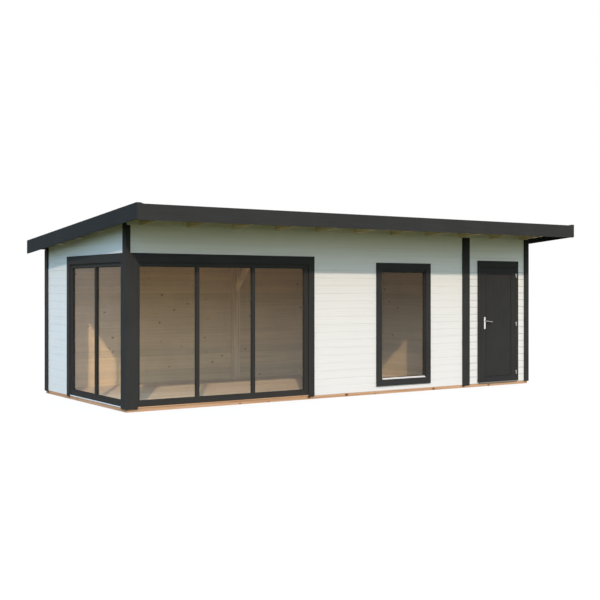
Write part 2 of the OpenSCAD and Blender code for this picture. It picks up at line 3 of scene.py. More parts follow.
import bpy
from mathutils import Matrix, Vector


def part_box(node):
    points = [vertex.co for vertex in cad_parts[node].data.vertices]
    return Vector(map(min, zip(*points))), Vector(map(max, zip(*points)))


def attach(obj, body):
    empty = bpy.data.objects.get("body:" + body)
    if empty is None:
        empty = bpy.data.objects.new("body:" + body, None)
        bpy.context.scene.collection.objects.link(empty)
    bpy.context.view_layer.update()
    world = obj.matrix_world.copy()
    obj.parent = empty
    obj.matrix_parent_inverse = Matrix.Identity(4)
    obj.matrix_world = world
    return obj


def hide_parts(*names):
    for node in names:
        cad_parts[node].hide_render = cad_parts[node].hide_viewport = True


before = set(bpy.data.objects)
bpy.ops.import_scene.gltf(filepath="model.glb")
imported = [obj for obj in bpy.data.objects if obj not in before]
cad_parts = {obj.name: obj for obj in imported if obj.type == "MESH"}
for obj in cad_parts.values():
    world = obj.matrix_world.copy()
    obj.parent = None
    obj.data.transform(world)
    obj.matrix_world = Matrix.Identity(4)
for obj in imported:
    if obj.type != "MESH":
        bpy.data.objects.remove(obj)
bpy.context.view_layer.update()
print("frame loaded:", len(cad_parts), "nodes")

scene = bpy.context.scene
scene.view_settings.view_transform = "Standard"

# small helpers for shader trees


def addNode(tree, kind, values=None, **props):
    made = tree.nodes.new(kind)
    for key, value in props.items():
        setattr(made, key, value)
    for key, value in (values or {}).items():
        if isinstance(value, bpy.types.NodeSocket):
            tree.links.new(value, made.inputs[key])
        else:
            made.inputs[key].default_value = value
    return made


def calc(tree, operation, a, b=0.0, c=0.0, clamp=False):
    made = addNode(tree, "ShaderNodeMath", {0: a, 1: b, 2: c}, operation=operation, use_clamp=clamp)
    return made.outputs[0]


def ramp01(tree, value, low, high):
    made = addNode(tree, "ShaderNodeMapRange", {"Value": value, "From Min": low, "From Max": high},
                   interpolation_type="SMOOTHSTEP")
    return made.outputs[0]


def mixTone(tree, factor, a, b, blendType="MIX"):
    made = addNode(tree, "ShaderNodeMix", {0: factor, 6: a, 7: b}, data_type="RGBA", blend_type=blendType)
    return made.outputs[2]


def joinXyz(tree, x, y, z):
    return addNode(tree, "ShaderNodeCombineXYZ", {0: x, 1: y, 2: z}).outputs[0]


def rgba(colour):
    return (colour[0], colour[1], colour[2], 1.0)


def newMaterial(name, roughness=0.5, specular=0.5, metallic=0.0):
    made = bpy.data.materials.new(name)
    made.use_nodes = True
    tree = made.node_tree
    tree.nodes.clear()
    shader = addNode(tree, "ShaderNodeBsdfPrincipled",
                     {"Roughness": roughness, "Specular IOR Level": specular, "Metallic": metallic})
    out = addNode(tree, "ShaderNodeOutputMaterial")
    tree.links.new(shader.outputs[0], out.inputs[0])
    return made, tree, shader


def placeXyz(tree):
    coords = addNode(tree, "ShaderNodeTexCoord")
    split = addNode(tree, "ShaderNodeSeparateXYZ", {0: coords.outputs["Object"]})
    return split.outputs[0], split.outputs[1], split.outputs[2]


def noise(tree, vector, scale=1.0, detail=4.0, roughness=0.55, distortion=0.0):
    made = addNode(tree, "ShaderNodeTexNoise", {"Vector": vector, "Scale": scale, "Detail": detail,
                                                "Roughness": roughness, "Distortion": distortion})
    return made.outputs[0]


def bumpOn(tree, shader, height, strength, distance):
    made = addNode(tree, "ShaderNodeBump", {"Height": height, "Strength": strength, "Distance": distance})
    tree.links.new(made.outputs[0], shader.inputs["Normal"])


def grainPair(tree, along, across, seedValue, alongScale=1.6, acrossScale=70.0):
    # fine fibres and the wider bands of the year rings, both drawn out along the board
    fibre = noise(tree, joinXyz(tree, calc(tree, "MULTIPLY", along, alongScale), seedValue,
                                calc(tree, "MULTIPLY", across, acrossScale * 3.0)), detail=5.0)
    band = noise(tree, joinXyz(tree, calc(tree, "MULTIPLY", along, alongScale * 0.5), seedValue,
                               calc(tree, "MULTIPLY", across, acrossScale)), detail=2.0, distortion=0.4)
    return fibre, band


def knotField(tree, along, across, pitch, boardWidth, start, seedValue, share):
    # one candidate knot for every pitch of every board; share of them is drawn
    cellU = calc(tree, "ADD", calc(tree, "DIVIDE", along, pitch), seedValue)
    cellV = calc(tree, "DIVIDE", calc(tree, "SUBTRACT", across, start), boardWidth)
    cell = joinXyz(tree, cellU, cellV, 0.0)
    spots = addNode(tree, "ShaderNodeTexVoronoi", {"Vector": cell, "Scale": 1.0, "Randomness": 0.8},
                    voronoi_dimensions="2D")
    gap = addNode(tree, "ShaderNodeVectorMath", {0: spots.outputs["Position"], 1: cell}, operation="SUBTRACT")
    parts = addNode(tree, "ShaderNodeSeparateXYZ", {0: gap.outputs[0]})
    du = calc(tree, "MULTIPLY", parts.outputs[0], pitch * 0.75)
    dv = calc(tree, "MULTIPLY", parts.outputs[1], boardWidth)
    reach = calc(tree, "SQRT", calc(tree, "MULTIPLY_ADD", du, du, calc(tree, "MULTIPLY", dv, dv)))
    chance = addNode(tree, "ShaderNodeSeparateColor", {0: spots.outputs["Color"]})
    drawn = calc(tree, "LESS_THAN", chance.outputs[0], share)
    size = calc(tree, "MULTIPLY_ADD", chance.outputs[1], 0.7, 0.55)
    reach = calc(tree, "DIVIDE", reach, size)
    return reach, drawn


# shares of the tone in the grain, and the knots' reaches in metres from their middles
grainLook = {"lightGain": 0.10, "darkLoss": (0.18, 0.25, 0.32), "fibreShare": 0.35,
             "boardShade": 0.92, "boardSpread": 0.16}
knotLook = {"bend": 0.012, "bendReach": (0.004, 0.045),
            "ringReach": (0.008, 0.024), "ringTint": (0.62, 0.42, 0.26), "ringShare": 0.55,
            "coreReach": (0.006, 0.011), "coreTone": (0.075, 0.035, 0.018),
            "coreShare": 0.5, "coreShareMore": 0.35}


def pineLook(tree, along, across, boardIndex, tone, boardWidth, start, knotShare=0.5, knotPitch=0.42,
             contrast=1.0, knotScale=1.0):
    # pine: boards differ a little, grain bends round the knots, knots are brown with a pale ring
    boardShade = addNode(tree, "ShaderNodeTexWhiteNoise", {"W": boardIndex}, noise_dimensions="1D").outputs[0]
    seedValue = calc(tree, "MULTIPLY", boardShade, 37.0)
    reach, drawn = knotField(tree, along, across, knotPitch, boardWidth, start, seedValue, knotShare)
    reach = calc(tree, "DIVIDE", reach, knotScale)

    def within(low, high):
        return calc(tree, "MULTIPLY", calc(tree, "SUBTRACT", 1.0, ramp01(tree, reach, low, high)), drawn)

    bent = calc(tree, "MULTIPLY_ADD", within(*knotLook["bendReach"]), knotLook["bend"], across)
    fibre, band = grainPair(tree, along, bent, seedValue)
    light = rgba([c * (1.0 + grainLook["lightGain"] * contrast) for c in tone])
    dark = rgba([c * (1.0 - loss * contrast) for c, loss in zip(tone, grainLook["darkLoss"])])
    colour = mixTone(tree, ramp01(tree, band, 0.35, 0.68), light, dark)
    fibreShare = calc(tree, "MULTIPLY", ramp01(tree, fibre, 0.45, 0.7), grainLook["fibreShare"])
    colour = mixTone(tree, fibreShare, colour, dark)
    shadeTone = calc(tree, "MULTIPLY_ADD", boardShade, grainLook["boardSpread"], grainLook["boardShade"])
    colour = mixTone(tree, 1.0, colour, joinXyz(tree, shadeTone, shadeTone, shadeTone), "MULTIPLY")
    ring = calc(tree, "MULTIPLY", within(*knotLook["ringReach"]), knotLook["ringShare"])
    core = within(*knotLook["coreReach"])
    coreShare = knotLook["coreShare"] + knotLook["coreShareMore"] * contrast
    colour = mixTone(tree, ring, colour, rgba([c * tint for c, tint in zip(tone, knotLook["ringTint"])]))
    colour = mixTone(tree, calc(tree, "MULTIPLY", core, coreShare), colour, rgba(knotLook["coreTone"]))
    height = calc(tree, "ADD", calc(tree, "MULTIPLY", fibre, 0.5), calc(tree, "MULTIPLY", band, 0.5))
    return colour, height, core


# white painted logs, natural pine on the room side
logLook = {
    "courseHeight": 0.1145,
    "courseStart": 0.050,
    "paint": (0.83, 0.83, 0.815),
    "paintWorn": (0.78, 0.78, 0.76),
    "pine": (0.74, 0.56, 0.33), "knots": 0.25, "contrast": 0.45,
    "knotTone": (0.42, 0.36, 0.26), "knotShare": 0.10,    # knots that show through the paint
    "jointTone": (0.20, 0.19, 0.175),
    "officeJoint": 0.11,          # how dark the joint shows on the office walls
    "storeJoint": 0.72,           # and on the store's front
    "jointSunShadowHeights": (2.02, 1.90),    # heights over which the joint lines grow darker below the eave's shade: a painted sun shadow in the grooves
    "outerX": 3.672, "frontY": -1.160, "backY": 1.788,
    "storeX": 2.348,
}


def logMaterial():
    made, tree, shader = newMaterial("logsPaintedOutside", 0.55, 0.10)
    x, y, z = placeXyz(tree)
    along = calc(tree, "ADD", x, y)
    course = calc(tree, "DIVIDE", calc(tree, "SUBTRACT", z, logLook["courseStart"]), logLook["courseHeight"])
    courseIndex = calc(tree, "FLOOR", course)
    inCourse = calc(tree, "FRACT", course)
    toJoint = calc(tree, "MULTIPLY", calc(tree, "MINIMUM", inCourse, calc(tree, "SUBTRACT", 1.0, inCourse)),
                   logLook["courseHeight"])
    pineTone, pineHeight, pineCore = pineLook(tree, along, z, courseIndex, logLook["pine"],
                                              logLook["courseHeight"], logLook["courseStart"],
                                              logLook["knots"], contrast=logLook["contrast"])
    seedValue = calc(tree, "MULTIPLY", courseIndex, 3.7)
    fibre, band = grainPair(tree, along, z, seedValue, 1.2, 60.0)
    paint = mixTone(tree, calc(tree, "MULTIPLY", ramp01(tree, band, 0.42, 0.75), 0.7),
                    rgba(logLook["paint"]), rgba(logLook["paintWorn"]))
    paint = mixTone(tree, calc(tree, "MULTIPLY", pineCore, logLook["knotShare"]), paint,
                    rgba(logLook["knotTone"]))
    inStore = calc(tree, "MULTIPLY", calc(tree, "GREATER_THAN", x, logLook["storeX"]),
                   calc(tree, "LESS_THAN", y, logLook["frontY"]))
    jointAmount = calc(tree, "MULTIPLY_ADD", inStore, logLook["storeJoint"] - logLook["officeJoint"],
                       logLook["officeJoint"])
    # the joint lines are dark joints, and their darkening below the eave's shade is a painted sun shadow in
    # the grooves
    grooveSunShadow = calc(tree, "MULTIPLY_ADD", ramp01(tree, z, *logLook["jointSunShadowHeights"]), 0.8, 0.2)
    line = calc(tree, "MULTIPLY", calc(tree, "SUBTRACT", 1.0, ramp01(tree, toJoint, 0.0015, 0.0045)),
                calc(tree, "MULTIPLY", jointAmount, grooveSunShadow))
    paint = mixTone(tree, line, paint, rgba(logLook["jointTone"]))
    outside = calc(tree, "MAXIMUM", calc(tree, "GREATER_THAN", calc(tree, "ABSOLUTE", x), logLook["outerX"]),
                   calc(tree, "MAXIMUM", calc(tree, "LESS_THAN", y, logLook["frontY"]),
                        calc(tree, "GREATER_THAN", y, logLook["backY"])))
    colour = mixTone(tree, outside, pineTone, paint)
    tree.links.new(colour, shader.inputs["Base Color"])
    tree.links.new(calc(tree, "MULTIPLY_ADD", fibre, 0.12, 0.48), shader.inputs["Roughness"])
    bumpOn(tree, shader, calc(tree, "ADD", pineHeight, fibre), 0.25, 0.0012)
    return made


# pine boards and beams: the axis the grain runs along, the board's width and where the first one starts
pineLooks = {
    "rafterPine": {"tone": (0.77, 0.69, 0.50), "axis": "y", "width": 0.125, "start": 0.05, "knots": 0.35},
    "lookoutPine": {"tone": (0.82, 0.76, 0.62), "axis": "x", "width": 0.125, "start": 0.05, "knots": 0.3},
    "postPine": {"tone": (0.77, 0.59, 0.37), "axis": "z", "width": 0.09, "knots": 0.2},
    # the brace is toned paler than the post: painted light for its sunlit face
    "braceLitPine": {"tone": (0.90, 0.73, 0.50), "axis": "z", "width": 0.09, "knots": 0.1},
    "partitionPine": {"tone": (0.55, 0.43, 0.25), "axis": "xy", "width": 0.1145, "start": 0.05, "knots": 0.25,
                      "contrast": 0.45},
    "foundationPine": {"tone": (0.58, 0.37, 0.232), "axis": "xy", "width": 0.05, "knots": 0.45,
                       "knotScale": 1.9, "pitch": 0.6},
    "foundationEndPine": {"tone": (0.59, 0.355, 0.215), "axis": "xy", "width": 0.05, "knots": 0.45,
                          "knotScale": 1.9, "pitch": 0.6},
    # the sill under the front panes is bare, the one under the end panes is painted
    "sillPine": {"tone": (0.63, 0.39, 0.22), "axis": "xy", "width": 0.05, "knots": 0.1,
                 "paintedBelowX": -3.58},
}


def pineMaterial(name, look):
    made, tree, shader = newMaterial(name, 0.6, 0.10)
    x, y, z = placeXyz(tree)
    if look["axis"] == "z":
        along, across = z, calc(tree, "ADD", x, y)
    elif look["axis"] == "y":
        along, across = y, calc(tree, "ADD", calc(tree, "MULTIPLY", x, 1.7), z)
    elif look["axis"] == "x":
        along, across = x, calc(tree, "ADD", y, z)
    else:
        along, across = calc(tree, "ADD", x, y), z
    start = look.get("start", 0.0)
    index = calc(tree, "FLOOR", calc(tree, "DIVIDE", calc(tree, "SUBTRACT", across, start), look["width"]))
    colour, height, core = pineLook(tree, along, across, index, look["tone"], look["width"], start,
                                    look["knots"], look.get("pitch", 0.42), look.get("contrast", 1.0),
                                    look.get("knotScale", 1.0))
    if "paintedBelowX" in look:
        atEnd = calc(tree, "LESS_THAN", x, look["paintedBelowX"])
        colour = mixTone(tree, atEnd, colour, rgba(logLook["paint"]))
    tree.links.new(colour, shader.inputs["Base Color"])
    tree.links.new(calc(tree, "MULTIPLY_ADD", height, 0.2, 0.5), shader.inputs["Roughness"])
    bumpOn(tree, shader, height, 0.3, 0.0012)
    return made


def boardMaterial(name, tone, knots):
    # loose boards: each carries its own number in the attribute boardNumber
    made, tree, shader = newMaterial(name, 0.55, 0.12)
    x, y, z = placeXyz(tree)
    number = addNode(tree, "ShaderNodeAttribute", attribute_name="boardNumber")
    colour, height, core = pineLook(tree, x, y, number.outputs["Fac"], tone, 0.1, 0.0, knots)
    tree.links.new(colour, shader.inputs["Base Color"])
    tree.links.new(calc(tree, "MULTIPLY_ADD", height, 0.2, 0.45), shader.inputs["Roughness"])
    bumpOn(tree, shader, height, 0.3, 0.0012)
    return made


# anthracite paint on wood, grain along the board
paintLook = {"specular": 0.008, "shades": (0.86, 1.14, 1.25), "cloudShare": 0.3}


def darkPaint(name, upright, tone, roughness):
    made, tree, shader = newMaterial(name, roughness, paintLook["specular"])
    x, y, z = placeXyz(tree)
    level = calc(tree, "ADD", x, y)
    along, across = (z, level) if upright else (level, z)
    fibre, band = grainPair(tree, along, across, 0.0, 1.4, 90.0)
    cloud = noise(tree, joinXyz(tree, x, y, z), 2.2, 3.0)
    dark, light, cloudy = [rgba([c * shade for c in tone]) for shade in paintLook["shades"]]
    cloudShare = calc(tree, "MULTIPLY", ramp01(tree, cloud, 0.4, 0.7), paintLook["cloudShare"])
    colour = mixTone(tree, cloudShare, mixTone(tree, ramp01(tree, fibre, 0.35, 0.7), dark, light), cloudy)
    tree.links.new(colour, shader.inputs["Base Color"])
    tree.links.new(calc(tree, "MULTIPLY_ADD", fibre, 0.18, roughness - 0.09), shader.inputs["Roughness"])
    bumpOn(tree, shader, calc(tree, "ADD", fibre, calc(tree, "MULTIPLY", band, 0.5)), 0.22, 0.0008)
    return made


# mineral felt: grit of mixed greys, slow stains along the fall
feltLook = {"grit": 420.0, "dark": (0.035, 0.036, 0.038), "light": (0.085, 0.085, 0.087),
            "stain": (0.095, 0.093, 0.088), "stainShare": 0.4}


def feltMaterial():
    made, tree, shader = newMaterial("roofFelt", 0.9, 0.2)
    x, y, z = placeXyz(tree)
    place = joinXyz(tree, x, y, z)
    grit = addNode(tree, "ShaderNodeTexVoronoi", {"Vector": place, "Scale": feltLook["grit"]})
    grey = addNode(tree, "ShaderNodeSeparateColor", {0: grit.outputs["Color"]})
    flow = joinXyz(tree, calc(tree, "MULTIPLY", x, 1.4), calc(tree, "MULTIPLY", y, 0.35), z)
    stain = ramp01(tree, noise(tree, flow, 1.6, 4.0), 0.42, 0.72)
    colour = mixTone(tree, grey.outputs[0], rgba(feltLook["dark"]), rgba(feltLook["light"]))
    colour = mixTone(tree, calc(tree, "MULTIPLY", stain, feltLook["stainShare"]), colour,
                     rgba(feltLook["stain"]))
    tree.links.new(colour, shader.inputs["Base Color"])
    bumpOn(tree, shader, grit.outputs["Distance"], 0.5, 0.0015)
    return made


# brushed metal: fine lines drawn out along one axis
brushScales = {"x": (4.0, 900.0, 900.0), "z": (900.0, 900.0, 4.0)}


def metalMaterial(name, tone, roughness, brushAlong, metallic=1.0):
    made, tree, shader = newMaterial(name, roughness, 0.5, metallic)
    lines = [calc(tree, "MULTIPLY", place, scale)
             for place, scale in zip(placeXyz(tree), brushScales[brushAlong])]
    brush = noise(tree, joinXyz(tree, *lines), 1.0, 2.0)
    colour = mixTone(tree, brush, rgba([c * 0.88 for c in tone]), rgba([min(1.0, c * 1.1) for c in tone]))
    tree.links.new(colour, shader.inputs["Base Color"])
    tree.links.new(calc(tree, "MULTIPLY_ADD", brush, 0.16, roughness - 0.08), shader.inputs["Roughness"])
    bumpOn(tree, shader, brush, 0.06, 0.0004)
    return made


def glassMaterial(name, reflectVeilTop, paintedLowReflection, rimShare):
    # clear panes: light passes, the sheen grows towards the edge of sight and, as a painted reflection,
    # towards the bottom of the pane, with a trace of dust in the tint
    made = bpy.data.materials.new(name)
    made.use_nodes = True
    tree = made.node_tree
    tree.nodes.clear()
    x, y, z = placeXyz(tree)
    dust = noise(tree, joinXyz(tree, x, y, z), 3.0, 5.0)
    tint = mixTone(tree, ramp01(tree, dust, 0.35, 0.75), rgba((0.97, 0.975, 0.965)),
                   rgba((0.945, 0.95, 0.94)))
    clear = addNode(tree, "ShaderNodeBsdfTransparent", {0: tint})
    sheen = addNode(tree, "ShaderNodeBsdfGlossy", {0: (1.0, 1.0, 1.0, 1.0), "Roughness": 0.02})
    rim = addNode(tree, "ShaderNodeLayerWeight", {"Blend": 0.5})
    steep = calc(tree, "POWER", rim.outputs["Facing"], 5.0)
    # the sheen's share rises towards the bottom of the pane: a painted reflection
    reflectVeil = calc(tree, "MULTIPLY_ADD", ramp01(tree, z, 1.9, 0.4), paintedLowReflection, reflectVeilTop)
    share = calc(tree, "MULTIPLY_ADD", steep, rimShare, reflectVeil, clamp=True)
    mixed = addNode(tree, "ShaderNodeMixShader", {0: share})
    tree.links.new(clear.outputs[0], mixed.inputs[1])
    tree.links.new(sheen.outputs[0], mixed.inputs[2])
    out = addNode(tree, "ShaderNodeOutputMaterial")
    tree.links.new(mixed.outputs[0], out.inputs[0])
    return made


trimTone = (0.0415, 0.0415, 0.0415)
finishes = {
    "logs": logMaterial(),
    # the end panes take smaller shares of the sheen and of its painted reflection
    "glass": glassMaterial("paneGlass", 0.014, 0.024, 0.7),
    "endGlass": glassMaterial("endPaneGlass", 0.004, 0.006, 0.6),
    "felt": feltMaterial(),
    "trimUpright": darkPaint("trimPaintUpright", True, trimTone, 0.5),
    "trimLevel": darkPaint("trimPaintLevel", False, trimTone, 0.5),
    "frameUpright": darkPaint("framePaintUpright", True, (0.0425, 0.0415, 0.0390), 0.45),
    "frameLevel": darkPaint("framePaintLevel", False, (0.0425, 0.0415, 0.0390), 0.45),
    # the barge boards carry a darker, bluer copy of the trim paint: painted shade
    "barge": darkPaint("bargePaint", False, (0.0310, 0.0350, 0.0370), 0.55),
    "door": darkPaint("doorPaint", True, (0.0390, 0.0392, 0.0392), 0.5),
    "bar": metalMaterial("barPowderCoat", (0.66, 0.65, 0.63), 0.5, "x", 0.0),
    "sealAndKeywayShade": darkPaint("sealRubberAndKeywayShade", True, (0.05, 0.05, 0.048), 0.6),
    "bead": darkPaint("beadDarkTone", True, (0.030, 0.030, 0.030), 0.6),
    # the threshold is toned dark: painted shade under the closed leaf
    "threshold": metalMaterial("thresholdMetalShadedTone", (0.26, 0.24, 0.22), 0.5, "x"),
    # the backplates and their screws carry a bright copy of the satin metal: a painted glint
    "handle": metalMaterial("handleSatin", (0.88, 0.87, 0.85), 0.3, "z"),
    "lever": metalMaterial("leverSatin", (0.44, 0.44, 0.43), 0.34, "x"),
    "hinge": metalMaterial("hingeZinc", (0.44, 0.44, 0.44), 0.4, "z"),
    "floorBoard": boardMaterial("floorBoardPine", (0.76, 0.62, 0.44), 0.35),
    "roofBoard": boardMaterial("roofBoardPine", (0.76, 0.66, 0.48), 0.35),
}
for name, look in pineLooks.items():
    finishes[name] = pineMaterial(name, look)

nodeFinish = {
    "logs": ["front_wall_header", "front_wall_piers", "front_wall_window_infill", "left_wall_header",
             "left_wall_rear", "right_wall", "back_wall", "top_logs"],
    "sillPine": ["glazing_sills"],
    "foundationPine": ["foundation_long_beams"],
    "foundationEndPine": ["foundation_cross_beams"],
    "partitionPine": ["partition_wall"],
    "postPine": ["back_post"],
    "braceLitPine": ["knee_brace"],
    "rafterPine": ["rafters"],
    "lookoutPine": ["verge_lookouts"],
    "floorBoard": ["floor_boards"],
    "roofBoard": ["roof_deck"],
    "trimUpright": ["corner_post", "corner_boards_long_sides", "corner_boards_ends", "partition_boards",
                    "casing_side_boards"],
    "trimLevel": ["casing_head_boards", "front_fascia", "rear_fascia", "verge_caps"],
    "barge": ["barge_boards"],
    "frameUpright": ["front_glazing_uprights", "left_glazing_uprights", "window_stiles", "door_jambs"],
    "frameLevel": ["front_glazing_rails", "left_glazing_rails", "window_rails", "door_head"],
    "door": ["door_leaf"],
    "glass": ["front_glass", "window_glass"],
    "endGlass": ["left_glass"],
    "felt": ["roof_membrane"],
    "bar": ["window_drip_bar"],
    "threshold": ["door_threshold"],
    "handle": ["handle_plates"],
    "lever": ["handle_levers"],
    "hinge": ["hinge_pins", "hinge_knuckles"],
}
for finish, names in nodeFinish.items():
    for name in names:
        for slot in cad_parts[name].material_slots:
            slot.material = finishes[finish]
print("finishes set on", sum(len(names) for names in nodeFinish.values()), "nodes")

# geometry trees: sizes come in by named inputs, the result becomes a plain mesh


def newTree(name, inputs):
    tree = bpy.data.node_groups.new(name, "GeometryNodeTree")
    tree.interface.new_socket("Geometry", in_out="INPUT", socket_type="NodeSocketGeometry")
    tree.interface.new_socket("Geometry", in_out="OUTPUT", socket_type="NodeSocketGeometry")
    for label, kind in inputs.items():
        tree.interface.new_socket(label, in_out="INPUT", socket_type=kind)
    return tree, addNode(tree, "NodeGroupInput"), addNode(tree, "NodeGroupOutput")


def socketId(tree, label):
    return next(item.identifier for item in tree.interface.items_tree
                if item.name == label and getattr(item, "in_out", "") == "INPUT")


def settle(name, tree, values, seedMesh=None):
    piece = bpy.data.objects.new(name, seedMesh or bpy.data.meshes.new(name + "Seed"))
    scene.collection.objects.link(piece)
    modifier = piece.modifiers.new("layout", "NODES")
    modifier.node_group = tree
    for label, value in values.items():
        modifier[socketId(tree, label)] = value
    bpy.context.view_layer.update()
    plain = bpy.data.meshes.new_from_object(piece.evaluated_get(bpy.context.evaluated_depsgraph_get()))
    piece.modifiers.clear()
    piece.data = plain
    plain.name = name
    return piece


def setOnPoints(tree, points, instance, turn):
    turned = addNode(tree, "FunctionNodeEulerToRotation", {0: turn})
    laid = addNode(tree, "GeometryNodeInstanceOnPoints",
                   {"Points": points, "Instance": instance, "Rotation": turned.outputs[0]})
    return laid.outputs[0]


def dressPlain(tree, laid, finish, result):
    plain = addNode(tree, "GeometryNodeRealizeInstances", {0: laid})
    dressed = addNode(tree, "GeometryNodeSetMaterial", {"Geometry": plain.outputs[0], "Material": finish})
    tree.links.new(dressed.outputs[0], result.inputs[0])


def boardTree():
    # boards side by side: one chamfered section drawn out, set at every point of a line
    tree, given, result = newTree("boardRow", {
        "Length": "NodeSocketFloat", "Width": "NodeSocketFloat", "Thickness": "NodeSocketFloat",
        "Chamfer": "NodeSocketFloat", "Count": "NodeSocketInt", "Start": "NodeSocketVector",
        "Step": "NodeSocketVector", "Tilt": "NodeSocketVector", "First number": "NodeSocketFloat",
        "Finish": "NodeSocketMaterial"})
    get = given.outputs
    ends = addNode(tree, "ShaderNodeCombineXYZ", {0: get["Length"]})
    spine = addNode(tree, "GeometryNodeCurvePrimitiveLine", {"End": ends.outputs[0]})
    section = addNode(tree, "GeometryNodeCurvePrimitiveQuadrilateral",
                      {"Width": get["Width"], "Height": get["Thickness"]})
    eased = addNode(tree, "GeometryNodeFilletCurve", {"Curve": section.outputs[0], "Radius": get["Chamfer"]})
    board = addNode(tree, "GeometryNodeCurveToMesh",
                    {"Curve": spine.outputs[0], "Profile Curve": eased.outputs[0], "Fill Caps": True})
    row = addNode(tree, "GeometryNodeMeshLine",
                  {"Count": get["Count"], "Start Location": get["Start"], "Offset": get["Step"]})
    laid = setOnPoints(tree, row.outputs[0], board.outputs[0], get["Tilt"])
    index = addNode(tree, "GeometryNodeInputIndex")
    number = addNode(tree, "ShaderNodeMath", {0: index.outputs[0], 1: get["First number"]}, operation="ADD")
    marked = addNode(tree, "GeometryNodeStoreNamedAttribute",
                     {"Geometry": laid, "Name": "boardNumber", "Value": number.outputs[0]},
                     data_type="FLOAT", domain="INSTANCE")
    dressPlain(tree, marked.outputs[0], get["Finish"], result)
    return tree


def joined(name, parts):
    # several meshes of one body as one piece, attributes and materials kept
    bpy.ops.object.select_all(action="DESELECT")
    for part in parts:
        part.select_set(True)
    bpy.context.view_layer.objects.active = parts[0]
    if len(parts) > 1:
        bpy.ops.object.join()
    parts[0].name = name
    return parts[0]


boardRow = boardTree()

# floor boards: laid along the house in both rooms, the first office board stops at the corner post
floorSpec = {"width": 0.0936, "chamfer": 0.0012, "gap": 0.0006}


def layFloor():
    low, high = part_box("floor_boards")
    wallLow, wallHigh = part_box("partition_wall")
    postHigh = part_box("corner_post")[1]
    count = round((high.y - low.y) / floorSpec["width"])
    width = (high.y - low.y) / count
    thick = high.z - low.z
    # each row: from x, to x, first board, number of boards, first board's number for its look
    rows = [(low.x, wallLow.x, 1, count - 1, 3.0),
            (postHigh.x, wallLow.x, 0, 1, 1.0),
            (wallHigh.x, high.x, 0, count, 61.0)]
    parts = []
    for k, (x0, x1, first, number, label) in enumerate(rows):
        parts.append(settle("floorRow%d" % k, boardRow, {
            "Length": x1 - x0, "Width": width - floorSpec["gap"], "Thickness": thick,
            "Chamfer": floorSpec["chamfer"], "Count": number,
            "Start": (x0, low.y + (first + 0.5) * width, (low.z + high.z) / 2),
            "Step": (0.0, width, 0.0), "Tilt": (0.0, 0.0, 0.0), "First number": label,
            "Finish": finishes["floorBoard"]}))
    piece = joined("floorBoardRows", parts)
    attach(piece, "pod")
    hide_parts("floor_boards")
    return count


print("floor boards laid:", layFloor(), "across")

# roof boards: laid along the eave on the rafters, following the fall
roofSpec = {"width": 0.095, "chamfer": 0.003, "gap": 0.0006, "plumbThickness": 0.018}


def layRoof():
    low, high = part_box("roof_deck")
    depth = high.y - low.y
    fall = (high.z - low.z - roofSpec["plumbThickness"]) / depth
    angle = math.atan(fall)
    count = round(depth / roofSpec["width"])
    step = depth / count
    startZ = high.z - roofSpec["plumbThickness"] / 2 - fall * step / 2
    piece = settle("roofBoardRows", boardRow, {
        "Length": high.x - low.x, "Width": step / math.cos(angle) - roofSpec["gap"],
        "Thickness": roofSpec["plumbThickness"] * math.cos(angle), "Chamfer": roofSpec["chamfer"],
        "Count": count, "Start": (low.x, low.y + step / 2, startZ), "Step": (0.0, step, -fall * step),
        "Tilt": (-angle, 0.0, 0.0), "First number": 11.0, "Finish": finishes["roofBoard"]})
    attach(piece, "pod")
    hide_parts("roof_deck")
    return count, fall


roofCount, roofFall = layRoof()
print("roof boards laid:", roofCount)

# felt laps: the doubled edge where each sheet lies over the next lower one, short of the verge caps
lapSpec = {"sheet": 0.92, "lap": 0.08, "thickness": 0.0026, "chamfer": 0.0008, "capInner": 0.085}


def layFelt():
    low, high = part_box("roof_membrane")
    angle = math.atan(roofFall)
    count = int((high.y - low.y - lapSpec["lap"]) / lapSpec["sheet"])
    y = low.y + lapSpec["sheet"]
    capInner = lapSpec["capInner"]
    piece = settle("feltLaps", boardRow, {
        "Length": high.x - low.x - 2 * capInner, "Width": lapSpec["lap"], "Thickness": lapSpec["thickness"],
        "Chamfer": lapSpec["chamfer"], "Count": count,
        "Start": (low.x + capInner, y, high.z - roofFall * (y - low.y) + lapSpec["thickness"] / 2),
        "Step": (0.0, lapSpec["sheet"], -roofFall * lapSpec["sheet"]), "Tilt": (-angle, 0.0, 0.0),
        "First number": 0.0, "Finish": finishes["felt"]})
    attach(piece, "pod")
    return count


print("felt laps laid:", layFelt())


def solidBoxes(node):
    # the boxes of a node's separate solids
    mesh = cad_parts[node].data
    keys = [tuple(round(c, 4) for c in vertex.co) for vertex in mesh.vertices]
    parent = {key: key for key in keys}

    def root(key):
        while parent[key] != key:
            parent[key] = parent[parent[key]]
            key = parent[key]
        return key

    for edge in mesh.edges:
        parent[root(keys[edge.vertices[0]])] = root(keys[edge.vertices[1]])
    groups = {}
    for key in parent:
        groups.setdefault(root(key), []).append(key)
    boxes = []
    for group in groups.values():
        low = Vector([min(key[axis] for key in group) for axis in range(3)])
        high = Vector([max(key[axis] for key in group) for axis in range(3)])
        boxes.append((low, high))
    return boxes


def pointMesh(name, points):
    made = bpy.data.meshes.new(name)
    made.from_pydata([tuple(point) for point in points], [], [])
    return made


# rubber seals in the corner between each pane and its frame, on both faces
sealSpec = {"band": 0.007, "depth": 0.005,
            "panes": [("front_glass", 1, (90.0, 0.0, 0.0)), ("window_glass", 1, (90.0, 0.0, 0.0)),
                      ("left_glass", 0, (90.0, 0.0, 90.0))]}


